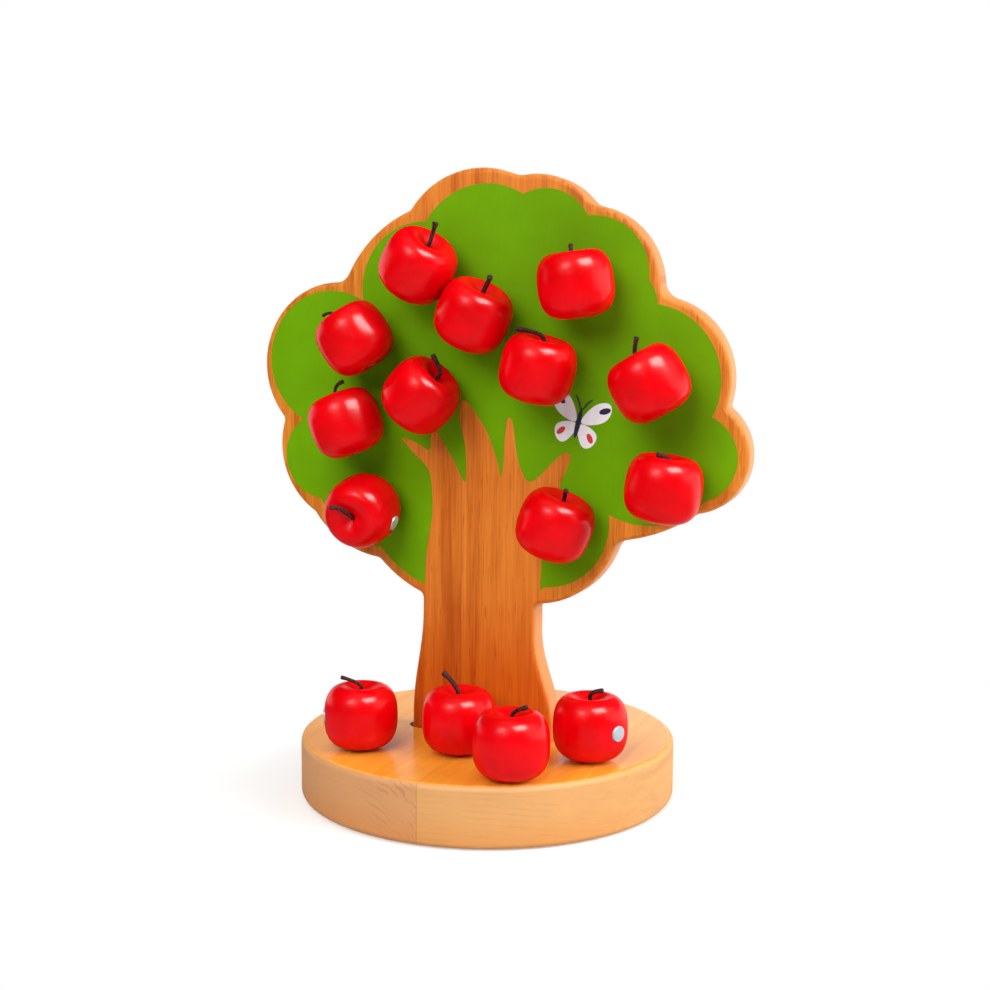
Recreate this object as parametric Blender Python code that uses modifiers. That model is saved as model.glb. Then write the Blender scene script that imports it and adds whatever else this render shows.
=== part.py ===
"""Magnetic apple tree: a flat wooden tree in a round base, with fifteen turned apples.

The tree board stands in a routed slot in the base and its printed front faces -Y.
A steel sheet is let into the board from behind and closed with a wooden panel, so
the small magnets in the apples hold anywhere on the crown. Eleven apples hang on the
crown and four stand on the base. The origin is the centre of the base's underside.
"""

import math

import bmesh
import bpy
from mathutils import Matrix, Vector
from mathutils.geometry import interpolate_bezier

MM = 0.001

# Clearances and facets
FIT_GAP = 0.3 * MM
CUT_OVERRUN = 2.0 * MM
WELD_DISTANCE = 0.01 * MM
ARC_STEP = math.radians(18.0)
SMOOTH_ANGLE = math.radians(35.0)

# Round base
BASE_DIAMETER = 141.0 * MM
BASE_THICKNESS = 22.0 * MM
BASE_ROUNDING = 2.2 * MM
BASE_SIDES = 52
ROUNDING_STEPS = 3
SLOT_DEPTH = 13.0 * MM
SLOT_END_PLAY = 2.7 * MM

# Tree board. The trunk's height runs from the base's top to the crown's lowest point,
# and each waist lies below the rounded notch between its side and the crown. With these
# values the toy is 232 mm tall.
TRUNK_HEIGHT = 48.9 * MM
CROWN_WIDTH = 190.0 * MM
CROWN_HEIGHT_SHARE = 0.848
BOARD_THICKNESS = 11.0 * MM
BOARD_ROUNDING = 2.0 * MM
BOARD_SETBACK = -2.2 * MM
TRUNK_NOTCH_ROUNDING = 2.5 * MM
FOOT_WIDTH = 56.4 * MM
FLARE_RISE = 6.0 * MM
FLARE_POINTS = 6
WAIST_LEFT = 24.1 * MM
WAIST_LEFT_DROP = 4.5 * MM
WAIST_RIGHT = 21.1 * MM
WAIST_RIGHT_DROP = 9.1 * MM

# Hidden steel sheet and the panel that closes its pocket
FRONT_SKIN = 2.5 * MM
STEEL_THICKNESS = 1.0 * MM
POCKET_WALL = 9.0 * MM

# Printed crown
PRINT_THICKNESS = 0.2 * MM

# Apples. The barrel is a rounded square in section, drawn in towards both ends, and its
# widest circle lies a little above half its height.
APPLE_DIAMETER = 26.7 * MM
BARREL_ABOVE = 12.2 * MM
BARREL_BELOW = 11.7 * MM
BARREL_SQUARENESS = 3.7
BARREL_TAPER_SHARE = 0.11
BOTTOM_FLAT_SHARE = 0.32
APPLE_SIDES = 16
TOP_ARC_POINTS = 6
TOP_ARC_REACH = math.radians(80.0)
BOTTOM_ARC_POINTS = 4
BOTTOM_ARC_REACH = math.radians(74.0)
DIMPLE_DEPTH = 3.8 * MM
DIMPLE_RADIUS = 5.0 * MM

# Magnets
MAGNET_DIAMETER = 5.6 * MM
MAGNET_THICKNESS = 3.0 * MM
MAGNET_SIDES = 12
MAGNET_STAND = 0.3 * MM
BOTTOM_GROOVE = 0.6 * MM

# Stems
STEM_DIAMETER = 1.3 * MM
STEM_SEAT = 3.5 * MM
STEM_RISE = 1.8 * MM
STEM_LENGTH = 9.0 * MM
STEM_POINTS = 6
STEM_TIP_SHARE = 1.25

# Lobes of the crown's outline, clockwise from the lower left, in shares of the crown's
# width: centre across, centre down from the top, radius, and the rounding of the notch
# between the lobe and the next.
BOARD_LOBE_SHARES = (
    (-0.034, 0.592, 0.256, 0.020),
    (-0.204, 0.568, 0.198, 0.020),
    (-0.285, 0.542, 0.160, 0.013),
    (-0.315, 0.379, 0.164, 0.030),
    (-0.066, 0.312, 0.251, 0.016),
    (-0.010, 0.175, 0.175, 0.052),
    (0.101, 0.157, 0.142, 0.032),
    (0.194, 0.227, 0.154, 0.037),
    (0.330, 0.396, 0.154, 0.013),
    (0.411, 0.534, 0.110, 0.016),
    (0.240, 0.389, 0.315, 0.032),
    (0.104, 0.661, 0.174, 0.013),
)

# The printed crown's own lobes, in the same order and shares, with sharp notches.
PRINT_LOBE_SHARES = (
    (-0.045, 0.604, 0.220),
    (-0.211, 0.589, 0.153),
    (-0.343, 0.563, 0.087),
    (-0.326, 0.369, 0.137),
    (-0.127, 0.229, 0.129),
    (0.004, 0.175, 0.144),
    (0.123, 0.139, 0.096),
    (0.218, 0.205, 0.110),
    (0.265, 0.264, 0.080),
    (0.324, 0.399, 0.142),
    (0.417, 0.539, 0.083),
    (0.333, 0.519, 0.152),
    (0.131, 0.671, 0.128),
)

# Bare wood of the trunk and branches inside the print, clockwise from the trunk's left
# edge to its right edge, in shares of the crown's width: across, down from the top.
TRUNK_SHARES = (
    (-0.120, 0.810),
    (-0.119, 0.763),
    (-0.112, 0.713),
    (-0.103, 0.665),
    (-0.107, 0.592),
    (-0.121, 0.571),
    (-0.143, 0.552),
    (-0.172, 0.523),
    (-0.168, 0.520),
    (-0.136, 0.530),
    (-0.109, 0.548),
    (-0.108, 0.515),
    (-0.102, 0.495),
    (-0.092, 0.511),
    (-0.056, 0.566),
    (-0.032, 0.614),
    (-0.033, 0.536),
    (-0.049, 0.480),
    (-0.042, 0.439),
    (-0.025, 0.453),
    (0.010, 0.500),
    (0.032, 0.557),
    (0.042, 0.600),
    (0.050, 0.475),
    (0.063, 0.475),
    (0.074, 0.560),
    (0.098, 0.607),
    (0.164, 0.537),
    (0.186, 0.541),
    (0.162, 0.598),
    (0.134, 0.668),
    (0.125, 0.747),
    (0.123, 0.807),
)

# Apples on the crown. Places are shares of an apple's diameter, across and up from a
# point this share of the crown's width below its top. Tilt turns an apple about the
# board's normal, clockwise seen from the front, and nod leans its top forwards. Last in
# a row are the stem's bend and tip from the dimple's bottom, across, backwards and up in
# the apple's own directions, in shares of the stem's length.
CROWN_MIDDLE_SHARE = 0.43
CROWN_APPLES = (
    ((-0.726, 1.720), 36.8, 14.0, (-0.10, 0.02, 0.60), (-0.23, 0.08, 0.96)),
    ((0.083, 1.058), 27.6, 9.4, (0.12, -0.17, 0.65), (0.16, -0.34, 0.87)),
    ((1.504, 1.466), -7.3, 3.5, (-0.13, 0.31, 0.57), (-0.21, 0.65, 0.54)),
    ((-1.670, 0.738), -33.2, 5.9, (-0.24, 0.05, 0.61), (-0.65, 0.05, 0.59)),
    ((-0.678, -0.021), 43.8, 6.1, (0.60, -0.08, 0.42), (-0.64, -0.19, 0.73)),
    ((-1.816, -0.428), -22.7, 0.0, (-0.07, -0.06, 0.69), (0.43, 0.21, 0.71)),
    ((0.996, 0.367), 15.0, 5.1, (0.09, 0.10, 0.54), (-1.10, -0.35, 0.39)),
    ((2.510, 0.202), -30.0, 4.8, (-0.19, -0.07, 0.34), (0.44, 0.03, 0.81)),
    ((1.260, -1.688), 21.4, 3.2, (0.01, -0.32, 0.55), (0.09, -0.60, 0.69)),
    ((2.720, -1.134), 8.3, 0.7, (0.31, -0.36, 0.27), (-0.33, -0.45, 0.35)),
)

# The apple that is held by its bottom magnet, so its stem points to the front. It droops
# about its lower edge, and its roll turns it about its own axis.
END_ON_PLACE_SHARES = (-1.588, -1.640)
END_ON_DROOP = 11.0
END_ON_ROLL = 251.0
END_ON_BEND_SHARES = (-0.19, 0.60, 0.38)
END_ON_TIP_SHARES = (-0.65, 0.56, 0.61)

# Apples that stand on the base. Places are shares of the base's radius. Spin turns an
# apple about its axis, and its stem's bend and tip are given as for the crown's apples,
# but in the base's directions.
STANDING_APPLES = (
    ((-0.481, -0.564), 118.0, (0.25, 0.00, 0.35), (-0.68, -0.37, 0.63)),
    ((0.019, -0.451), -20.0, (-0.25, 0.05, 0.58), (-0.67, -0.01, 0.90)),
    ((0.418, -0.757), 10.0, (0.16, -0.18, 0.43), (0.67, -0.16, 0.57)),
    ((0.676, -0.310), -115.0, (-0.12, -0.22, 0.51), (0.54, -0.19, 0.58)),
)

SLOT_BOTTOM = BASE_THICKNESS - SLOT_DEPTH
FOOT_BOTTOM = SLOT_BOTTOM + FIT_GAP
CROWN_TOP = BASE_THICKNESS + TRUNK_HEIGHT + CROWN_HEIGHT_SHARE * CROWN_WIDTH
CROWN_MIDDLE = CROWN_TOP - CROWN_MIDDLE_SHARE * CROWN_WIDTH
BOARD_FRONT = BOARD_SETBACK - BOARD_THICKNESS / 2
PRINT_FRONT = BOARD_FRONT - FIT_GAP - PRINT_THICKNESS
APPLE_RADIUS = APPLE_DIAMETER / 2
MAGNET_RADIUS = MAGNET_DIAMETER / 2
STEM_RADIUS = STEM_DIAMETER / 2
STEM_HOLE_RADIUS = STEM_RADIUS + FIT_GAP
DIMPLE_BOTTOM = BARREL_ABOVE - DIMPLE_DEPTH * math.exp(-(STEM_HOLE_RADIUS / DIMPLE_RADIUS) ** 2)


def clear_scene():
    for obj in list(bpy.data.objects):
        bpy.data.objects.remove(obj, do_unlink=True)


def make_collection(name):
    collection = bpy.data.collections.new(name)
    bpy.context.scene.collection.children.link(collection)
    return collection


def make_material(name, colour, roughness, metallic=0.0):
    material = bpy.data.materials.new(name)
    material.use_nodes = True
    shader = material.node_tree.nodes["Principled BSDF"]
    shader.inputs["Base Color"].default_value = (*colour, 1.0)
    shader.inputs["Roughness"].default_value = roughness
    shader.inputs["Metallic"].default_value = metallic
    return material


def add_object(name, data, collection, material=None):
    obj = bpy.data.objects.new(name, data)
    collection.objects.link(obj)
    if material:
        data.materials.append(material)
    return obj


def set_as_cutter(obj):
    obj.hide_render = True
    obj.display_type = "WIRE"


def mesh_from(obj):
    """The evaluated shape of a curve or a modified mesh, with its seams welded."""
    bpy.context.view_layer.update()
    evaluated = obj.evaluated_get(bpy.context.evaluated_depsgraph_get())
    mesh = bpy.data.meshes.new_from_object(evaluated)
    shape = bmesh.new()
    shape.from_mesh(mesh)
    bmesh.ops.remove_doubles(shape, verts=shape.verts, dist=WELD_DISTANCE)
    bmesh.ops.recalc_face_normals(shape, faces=shape.faces)
    shape.to_mesh(mesh)
    shape.free()
    mesh.name = obj.name
    return mesh


def become_mesh(obj, collection, material=None):
    """Replace a curve or a modified mesh by a plain mesh object of the same name."""
    name = obj.name
    mesh = mesh_from(obj)
    matrix = obj.matrix_world.copy()
    bpy.data.objects.remove(obj, do_unlink=True)
    solid = add_object(name, mesh, collection)
    solid.matrix_world = matrix
    if material:
        mesh.materials.clear()
        mesh.materials.append(material)
    return solid


def smooth(obj):
    obj.data.shade_smooth()
    obj.data.set_sharp_from_angle(angle=SMOOTH_ANGLE)


def cut(obj, cutter):
    modifier = obj.modifiers.new("cut_" + cutter.name, "BOOLEAN")
    modifier.operation = "DIFFERENCE"
    modifier.solver = "EXACT"
    modifier.object = cutter


def flat_plate(name, outline, thickness, collection, material=None, rounding=0.0):
    """A plate from a closed outline in the XY plane, centred on that plane."""
    curve = bpy.data.curves.new(name, "CURVE")
    curve.dimensions = "2D"
    curve.fill_mode = "BOTH"
    curve.extrude = thickness / 2 - rounding
    curve.bevel_depth = rounding
    curve.bevel_resolution = 1
    curve.offset = -rounding
    spline = curve.splines.new("POLY")
    spline.points.add(len(outline) - 1)
    for point, (x, y) in zip(spline.points, outline):
        point.co = (x, y, 0.0, 1.0)
    spline.use_cyclic_u = True
    obj = add_object(name, curve, collection)
    return become_mesh(obj, collection, material)


def stand_upright(obj, y):
    """Turn a plate from the XY plane into the XZ plane at a depth."""
    obj.matrix_world = Matrix.Translation((0.0, y, 0.0)) @ Matrix.Rotation(math.pi / 2, 4, "X")


def arc(centre, radius, start, end):
    """Points along an arc from one angle to another, both ends included."""
    count = max(2, math.ceil(abs(end - start) / ARC_STEP))
    angles = [start + (end - start) * i / count for i in range(count + 1)]
    return [Vector((centre.x + radius * math.cos(a), centre.y + radius * math.sin(a)))
            for a in angles]


def angle_to(origin, point):
    return math.atan2(point.y - origin.y, point.x - origin.x)


def circles_meet(centre_a, radius_a, centre_b, radius_b):
    """Where two circles meet, on the left of the way from the first to the second."""
    along = centre_b - centre_a
    distance = along.length
    reach = (distance ** 2 + radius_a ** 2 - radius_b ** 2) / (2 * distance)
    height = math.sqrt(radius_a ** 2 - reach ** 2)
    forward = along / distance
    left = Vector((-forward.y, forward.x))
    return centre_a + forward * reach + left * height


def crown_point(across, down):
    """A point in the board's plane, from shares of the crown's width below its top."""
    return Vector((across * CROWN_WIDTH, CROWN_TOP - down * CROWN_WIDTH))


def lobes_from(shares):
    """Centre, radius and notch rounding of each lobe in the board's plane, x across and y up."""
    return [(crown_point(across, down), radius * CROWN_WIDTH, rounding * CROWN_WIDTH)
            for across, down, radius, rounding in shares]


def drawn_in(points, distance):
    """A clockwise outline moved inwards, each point along the normal there."""
    moved = []
    for i, point in enumerate(points):
        tangent = points[(i + 1) % len(points)] - points[i - 1]
        inwards = Vector((tangent.y, -tangent.x)).normalized()
        moved.append(point + inwards * distance)
    return moved


def turn_clockwise(start, end):
    while end > start:
        end -= 2 * math.pi
    return end


def lobed_edge(lobes, start_point=None, end_point=None):
    """Clockwise points along a chain of lobes, with rounded notches between them.

    A chain without end points closes on itself from its last lobe to its first.
    """
    pairs = list(zip(lobes, lobes[1:]))
    if start_point is None:
        pairs.append((lobes[-1], lobes[0]))
    notches = []
    for (centre_a, radius_a, rounding), (centre_b, radius_b, _) in pairs:
        notches.append(circles_meet(centre_a, radius_a + rounding, centre_b, radius_b + rounding))
    points = []
    for i, (centre, radius, rounding) in enumerate(lobes):
        before = start_point if (i == 0 and start_point is not None) else notches[i - 1]
        after = end_point if (i == len(lobes) - 1 and end_point is not None) else notches[i]
        start = angle_to(centre, before)
        end = turn_clockwise(start, angle_to(centre, after))
        points += arc(centre, radius, start, end)
        last_open = i == len(lobes) - 1 and end_point is not None
        if rounding and not last_open:
            follower = lobes[(i + 1) % len(lobes)][0]
            start = angle_to(after, centre)
            end = angle_to(after, follower)
            while end < start:
                end += 2 * math.pi
            points += arc(after, rounding, start, end)[1:-1]
        elif not last_open:
            points.pop()
    return points


def side_notch(lobe, side_x, outward):
    """Centre of the rounded notch between an upright trunk side and the lobe above it."""
    centre, radius, _ = lobe
    across = side_x + outward * TRUNK_NOTCH_ROUNDING
    drop = math.sqrt((radius + TRUNK_NOTCH_ROUNDING) ** 2 - (across - centre.x) ** 2)
    return Vector((across, centre.y - drop))


def trunk_side(waist_x, waist_height, foot_x):
    """One side of the trunk from its waist down to its foot, an even flare."""
    points = []
    for i in range(FLARE_POINTS + 1):
        share = i / FLARE_POINTS
        flare = (1 - math.cos(math.pi * share)) / 2
        height = waist_height + (BASE_THICKNESS + FLARE_RISE - waist_height) * share
        points.append(Vector((waist_x + (foot_x - waist_x) * flare, height)))
    points.append(Vector((foot_x, FOOT_BOTTOM)))
    return points


def board_outline():
    """The whole board, clockwise from the left notch over the crown to the foot."""
    lobes = lobes_from(BOARD_LOBE_SHARES)
    left = side_notch(lobes[0], -WAIST_LEFT, -1)
    right = side_notch(lobes[-1], WAIST_RIGHT, 1)
    left_fillet = arc(left, TRUNK_NOTCH_ROUNDING, 0.0, angle_to(left, lobes[0][0]))
    right_fillet = arc(right, TRUNK_NOTCH_ROUNDING, angle_to(right, lobes[-1][0]), math.pi)
    crown = lobed_edge(lobes, left, right)
    right_side = trunk_side(WAIST_RIGHT, right.y - WAIST_RIGHT_DROP, FOOT_WIDTH / 2)
    left_side = trunk_side(-WAIST_LEFT, left.y - WAIST_LEFT_DROP, -FOOT_WIDTH / 2)
    return left_fillet[:-1] + crown + right_fillet[1:] + right_side + left_side[::-1]


def make_base(collection, cutters, material):
    """A turned disc with rounded rims and a round-ended slot for the board's foot."""
    radius = BASE_DIAMETER / 2
    corner = radius - BASE_ROUNDING
    quarter = [math.pi / 2 * (1 - i / ROUNDING_STEPS) for i in range(ROUNDING_STEPS + 1)]
    upper = [(corner + BASE_ROUNDING * math.cos(a), BASE_THICKNESS - BASE_ROUNDING * (1 - math.sin(a)))
             for a in quarter]
    lower = [(x, BASE_THICKNESS - z) for x, z in reversed(upper)]
    profile = [(0.0, BASE_THICKNESS)] + upper + lower + [(0.0, 0.0)]
    base = turned("base_disc", profile, BASE_SIDES, collection)
    base = become_mesh(base, collection, material)
    slot_radius = BOARD_THICKNESS / 2 + FIT_GAP
    reach = FOOT_WIDTH / 2 + SLOT_END_PLAY - slot_radius
    right_end = arc(Vector((reach, 0.0)), slot_radius, -math.pi / 2, math.pi / 2)
    left_end = arc(Vector((-reach, 0.0)), slot_radius, math.pi / 2, 3 * math.pi / 2)
    slot = flat_plate("slot_cutter", right_end + left_end, SLOT_DEPTH + CUT_OVERRUN, cutters)
    slot.location = (0.0, BOARD_SETBACK, SLOT_BOTTOM + (SLOT_DEPTH + CUT_OVERRUN) / 2)
    set_as_cutter(slot)
    cut(base, slot)
    smooth(base)


def turned(name, profile, sides, collection):
    """A turned solid from a profile in the XZ plane that runs down its outer side."""
    mesh = bpy.data.meshes.new(name)
    edges = [(i, i + 1) for i in range(len(profile) - 1)]
    mesh.from_pydata([(x, 0.0, z) for x, z in profile], edges, [])
    obj = add_object(name, mesh, collection)
    screw = obj.modifiers.new("turn", "SCREW")
    screw.steps = sides
    screw.render_steps = sides
    screw.use_merge_vertices = True
    screw.merge_threshold = WELD_DISTANCE
    return obj


def make_board(collection, cutters, material):
    """The wooden tree, with rounded edges and a pocket milled in its back."""
    board = flat_plate("tree_board", board_outline(), BOARD_THICKNESS, collection, material,
                       rounding=BOARD_ROUNDING)
    stand_upright(board, BOARD_SETBACK)
    depth = BOARD_THICKNESS - FRONT_SKIN + CUT_OVERRUN
    pocket = flat_plate("pocket_cutter", pocket_outline(0.0), depth, cutters)
    stand_upright(pocket, BOARD_FRONT + FRONT_SKIN + depth / 2)
    set_as_cutter(pocket)
    cut(board, pocket)
    smooth(board)


def pocket_outline(play):
    """The crown's outline drawn in by the pocket's wall, and by the play of what lies in it."""
    crown = lobed_edge(lobes_from(BOARD_LOBE_SHARES))
    return drawn_in(crown, POCKET_WALL + play)


def make_steel_sheet(collection, material):
    sheet = flat_plate("steel_sheet", pocket_outline(FIT_GAP), STEEL_THICKNESS, collection, material)
    stand_upright(sheet, BOARD_FRONT + FRONT_SKIN + FIT_GAP + STEEL_THICKNESS / 2)


def make_back_panel(collection, material):
    """The panel that closes the pocket, flush with the board's back."""
    front = BOARD_FRONT + FRONT_SKIN + FIT_GAP + STEEL_THICKNESS + FIT_GAP
    back = BOARD_FRONT + BOARD_THICKNESS
    panel = flat_plate("back_panel", pocket_outline(FIT_GAP), back - front, collection, material)
    stand_upright(panel, (front + back) / 2)


def print_outline():
    """The green crown, clockwise from the trunk's left edge, less the bare branches."""
    trunk = [crown_point(across, down) for across, down in TRUNK_SHARES]
    lobes = lobes_from([(*lobe, 0.0) for lobe in PRINT_LOBE_SHARES])
    crown = lobed_edge(lobes, trunk[0], trunk[-1])
    return crown[1:-1] + trunk[::-1]


def make_crown_print(collection, material):
    layer = flat_plate("crown_print", print_outline(), PRINT_THICKNESS, collection, material)
    stand_upright(layer, PRINT_FRONT + PRINT_THICKNESS / 2)


def apple_dip(radius):
    """How far the dimple lowers the apple's top at a distance from its axis."""
    return DIMPLE_DEPTH * math.exp(-(radius / DIMPLE_RADIUS) ** 2)


def barrel_point(angle):
    """A point of the rounded-square barrel, before its dimple and its flat bottom."""
    height = BARREL_ABOVE if angle > 0 else BARREL_BELOW
    rise = abs(math.sin(angle)) ** (2 / BARREL_SQUARENESS)
    across = APPLE_RADIUS * math.cos(angle) ** (2 / BARREL_SQUARENESS)
    return across * (1 - BARREL_TAPER_SHARE * rise ** 2), math.copysign(height * rise, angle)


def apple_profile():
    """Half section of an apple: stem hole, dimple, barrel, flat bottom, bottom magnet.

    The bottom magnet is one with the body here, with the groove round its rim.
    """
    hole_bottom = DIMPLE_BOTTOM - STEM_SEAT - FIT_GAP
    profile = [(0.0, hole_bottom), (STEM_HOLE_RADIUS, hole_bottom), (STEM_HOLE_RADIUS, DIMPLE_BOTTOM)]
    for i in range(TOP_ARC_POINTS):
        across, up = barrel_point(TOP_ARC_REACH * (1 - i / TOP_ARC_POINTS))
        profile.append((across, up - apple_dip(across)))
    for i in range(BOTTOM_ARC_POINTS):
        profile.append(barrel_point(-BOTTOM_ARC_REACH * i / (BOTTOM_ARC_POINTS - 1)))
    bottom = -BARREL_BELOW
    groove_radius = MAGNET_RADIUS + FIT_GAP
    groove_top = bottom + BOTTOM_GROOVE
    profile += [(APPLE_RADIUS * BOTTOM_FLAT_SHARE, bottom), (groove_radius, bottom)]
    profile += [(groove_radius, groove_top), (MAGNET_RADIUS, groove_top)]
    profile += [(MAGNET_RADIUS, bottom), (0.0, bottom)]
    return profile


def cylinder(name, radius, depth, sides, collection):
    shape = bmesh.new()
    bmesh.ops.create_cone(shape, cap_ends=True, segments=sides, radius1=radius, radius2=radius,
                          depth=depth)
    mesh = bpy.data.meshes.new(name)
    shape.to_mesh(mesh)
    shape.free()
    return add_object(name, mesh, collection)


def make_apple_mesh(collection, cutters, material):
    """One apple body, turned, with a side recess for its second magnet at the back."""
    body = turned("apple_blank", apple_profile(), APPLE_SIDES, collection)
    body = become_mesh(body, collection, material)
    depth = MAGNET_THICKNESS - MAGNET_STAND + FIT_GAP + CUT_OVERRUN
    recess = cylinder("side_recess_cutter", MAGNET_RADIUS + FIT_GAP, depth, MAGNET_SIDES, cutters)
    recess.rotation_euler = (math.pi / 2, 0.0, 0.0)
    recess.location = (0.0, APPLE_RADIUS + CUT_OVERRUN - depth / 2, 0.0)
    set_as_cutter(recess)
    cut(body, recess)
    body = become_mesh(body, collection, material)
    smooth(body)
    mesh = body.data
    bpy.data.objects.remove(body, do_unlink=True)
    return mesh


def make_magnet_mesh(collection, material):
    """The disc magnet let into an apple's side, which faces the board."""
    disc = cylinder("magnet_blank", MAGNET_RADIUS, MAGNET_THICKNESS, MAGNET_SIDES, collection)
    mesh = disc.data
    bpy.data.objects.remove(disc, do_unlink=True)
    centre = Matrix.Translation((0.0, APPLE_RADIUS + MAGNET_STAND - MAGNET_THICKNESS / 2, 0.0))
    mesh.transform(centre @ Matrix.Rotation(math.pi / 2, 4, "X"))
    mesh.materials.append(material)
    mesh.shade_smooth()
    mesh.set_sharp_from_angle(angle=SMOOTH_ANGLE)
    return mesh


def stem_route(bend_shares, tip_shares):
    """Points from the stem's seat up to the dimple, then along a curve to its tip."""
    start = Vector((0.0, 0.0, DIMPLE_BOTTOM))
    seat = start - Vector((0.0, 0.0, STEM_SEAT))
    rise = start + Vector((0.0, 0.0, STEM_RISE))
    bend = start + Vector(bend_shares) * STEM_LENGTH
    tip = start + Vector(tip_shares) * STEM_LENGTH
    return [seat] + interpolate_bezier(start, rise, bend, tip, STEM_POINTS)


def make_stem(name, bend_shares, tip_shares, collection, material):
    curve = bpy.data.curves.new(name, "CURVE")
    curve.dimensions = "3D"
    curve.bevel_depth = STEM_RADIUS
    curve.bevel_resolution = 2
    curve.use_fill_caps = True
    route = stem_route(bend_shares, tip_shares)
    spline = curve.splines.new("POLY")
    spline.points.add(len(route) - 1)
    for point, place in zip(spline.points, route):
        point.co = (*place, 1.0)
    spline.points[-1].radius = STEM_TIP_SHARE
    obj = add_object(name, curve, collection)
    return become_mesh(obj, collection, material)


class Apples:
    """Makes the apples one after another, each round an empty at its own centre."""

    def __init__(self, collection, cutters, red, brown, nickel):
        self.collection = collection
        self.body_mesh = make_apple_mesh(collection, cutters, red)
        self.magnet_mesh = make_magnet_mesh(collection, nickel)
        self.brown = brown
        self.count = 0

    def add(self, place, rotation, bend_shares, tip_shares):
        self.count += 1
        name = f"apple_{self.count:02d}"
        centre = bpy.data.objects.new(name, None)
        self.collection.objects.link(centre)
        body = add_object(name + "_body", self.body_mesh, self.collection)
        magnet = add_object(name + "_magnet", self.magnet_mesh, self.collection)
        stem = make_stem(name + "_stem", bend_shares, tip_shares, self.collection, self.brown)
        smooth(stem)
        for piece in (body, magnet, stem):
            piece.parent = centre
        centre.matrix_world = Matrix.Translation(place) @ rotation.to_4x4()


def crown_place(across, up, depth):
    """A place in front of the crown, from shares of an apple's diameter."""
    return Vector((across * APPLE_DIAMETER, depth, CROWN_MIDDLE + up * APPLE_DIAMETER))


def reach_back(rotation):
    """How far an apple's body or side magnet reaches behind its centre when it is turned."""
    rims = []
    for across, up in apple_profile():
        rims += [Vector((0.0, across, up)), Vector((0.0, -across, up))]
    for up in (-MAGNET_RADIUS, MAGNET_RADIUS):
        rims.append(Vector((0.0, APPLE_RADIUS + MAGNET_STAND, up)))
    return max((rotation @ rim).y for rim in rims)


def hang_apples(apples):
    """Ten apples held by their side magnets and one held by its bottom magnet."""
    touch = PRINT_FRONT - FIT_GAP
    for (across, up), tilt, nod, bend_shares, tip_shares in CROWN_APPLES:
        nodding = Matrix.Rotation(math.radians(nod), 3, "X")
        place = crown_place(across, up, touch - reach_back(nodding))
        rotation = Matrix.Rotation(math.radians(tilt), 3, "Y") @ nodding
        apples.add(place, rotation, bend_shares, tip_shares)
    drooping = Matrix.Rotation(math.pi / 2 + math.radians(END_ON_DROOP), 3, "X")
    place = crown_place(*END_ON_PLACE_SHARES, touch - reach_back(drooping))
    roll = Matrix.Rotation(math.radians(END_ON_ROLL), 3, "Z")
    bend = roll.inverted() @ Vector(END_ON_BEND_SHARES)
    tip = roll.inverted() @ Vector(END_ON_TIP_SHARES)
    apples.add(place, drooping @ roll, bend, tip)


def stand_apples(apples):
    """Four apples on the base, resting on their flat bottoms."""
    radius = BASE_DIAMETER / 2
    height = BASE_THICKNESS + FIT_GAP + BARREL_BELOW
    for (across, back), spin, bend_shares, tip_shares in STANDING_APPLES:
        rotation = Matrix.Rotation(math.radians(spin), 3, "Z")
        bend = rotation.inverted() @ Vector(bend_shares)
        tip = rotation.inverted() @ Vector(tip_shares)
        apples.add(Vector((across * radius, back * radius, height)), rotation, bend, tip)


def build():
    clear_scene()
    toy = make_collection("magnetic_apple_tree")
    cutters = make_collection("cutters")
    light_wood = make_material("light_wood", (0.86, 0.52, 0.24), 0.45)
    green = make_material("green_print", (0.16, 0.40, 0.01), 0.5)
    steel = make_material("steel", (0.55, 0.56, 0.58), 0.35, metallic=1.0)
    red = make_material("red_lacquer", (0.80, 0.01, 0.01), 0.2)
    brown = make_material("dark_cord", (0.03, 0.012, 0.01), 0.7)
    nickel = make_material("nickel", (0.78, 0.80, 0.82), 0.25, metallic=1.0)
    make_base(toy, cutters, light_wood)
    make_board(toy, cutters, light_wood)
    make_steel_sheet(toy, steel)
    make_back_panel(toy, light_wood)
    make_crown_print(toy, green)
    apples = Apples(toy, cutters, red, brown, nickel)
    hang_apples(apples)
    stand_apples(apples)


build()
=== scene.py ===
"""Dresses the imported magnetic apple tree: wood, print, lacquered apples, cords, magnets."""

import math

import bmesh
import bpy
from mathutils import Matrix, Vector, noise
from mathutils.geometry import interpolate_bezier


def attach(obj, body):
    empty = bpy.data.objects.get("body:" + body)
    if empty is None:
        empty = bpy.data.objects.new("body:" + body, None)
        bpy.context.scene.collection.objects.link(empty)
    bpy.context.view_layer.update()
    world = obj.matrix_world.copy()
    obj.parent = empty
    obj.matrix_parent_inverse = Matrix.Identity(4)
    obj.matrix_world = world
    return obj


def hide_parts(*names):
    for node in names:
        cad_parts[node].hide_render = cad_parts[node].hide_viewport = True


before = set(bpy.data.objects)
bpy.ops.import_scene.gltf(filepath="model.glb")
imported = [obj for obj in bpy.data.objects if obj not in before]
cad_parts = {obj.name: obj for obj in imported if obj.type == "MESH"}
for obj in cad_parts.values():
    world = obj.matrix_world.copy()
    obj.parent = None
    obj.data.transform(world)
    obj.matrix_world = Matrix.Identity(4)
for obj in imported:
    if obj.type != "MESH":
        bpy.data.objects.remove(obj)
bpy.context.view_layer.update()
MM = 0.001

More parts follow.
